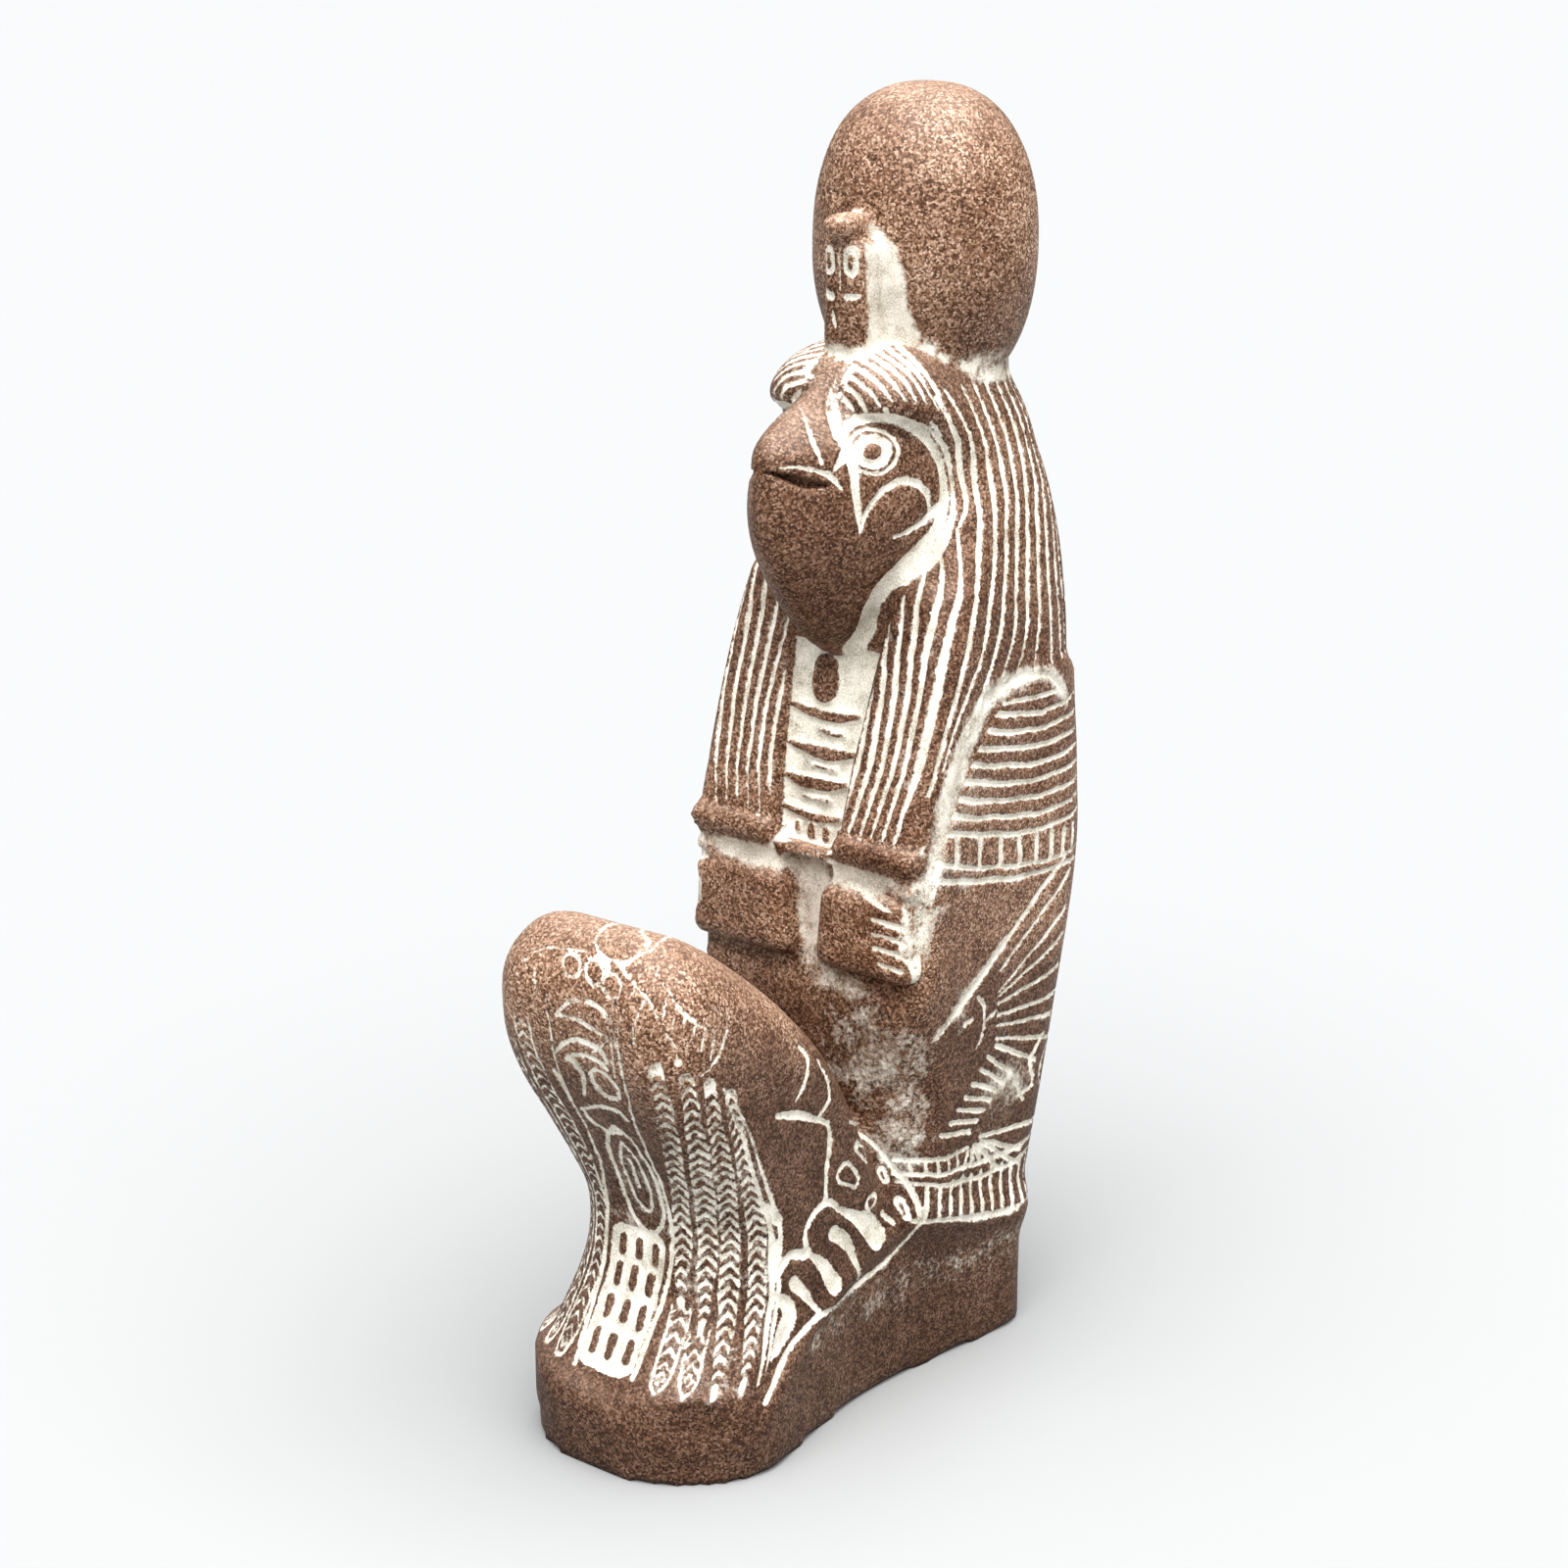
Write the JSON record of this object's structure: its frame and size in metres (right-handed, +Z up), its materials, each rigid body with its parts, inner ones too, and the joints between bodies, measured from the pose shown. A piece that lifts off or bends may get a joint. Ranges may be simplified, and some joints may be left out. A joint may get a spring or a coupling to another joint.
{
  "type": "squatting falcon-headed figure",
  "caption": "Carved stone figure of a squatting man with a falcon's head, long wig, sun disc and rearing cobra, on a small foot slab.",
  "frame": {"origin": "middle of the underside, under the centre of the whole figure's box, on the surface it stands on", "axes": "+Z up, the figure faces -Y, +X is the figure's left side"},
  "size_m": [0.0446, 0.101, 0.1935],
  "materials": {
    "carved_stone": "matt granular red-brown stone with white wash left in the cut lines"
  },
  "bodies": {
    "root": {"figure": "carved_stone"}
  },
  "joints": []
}
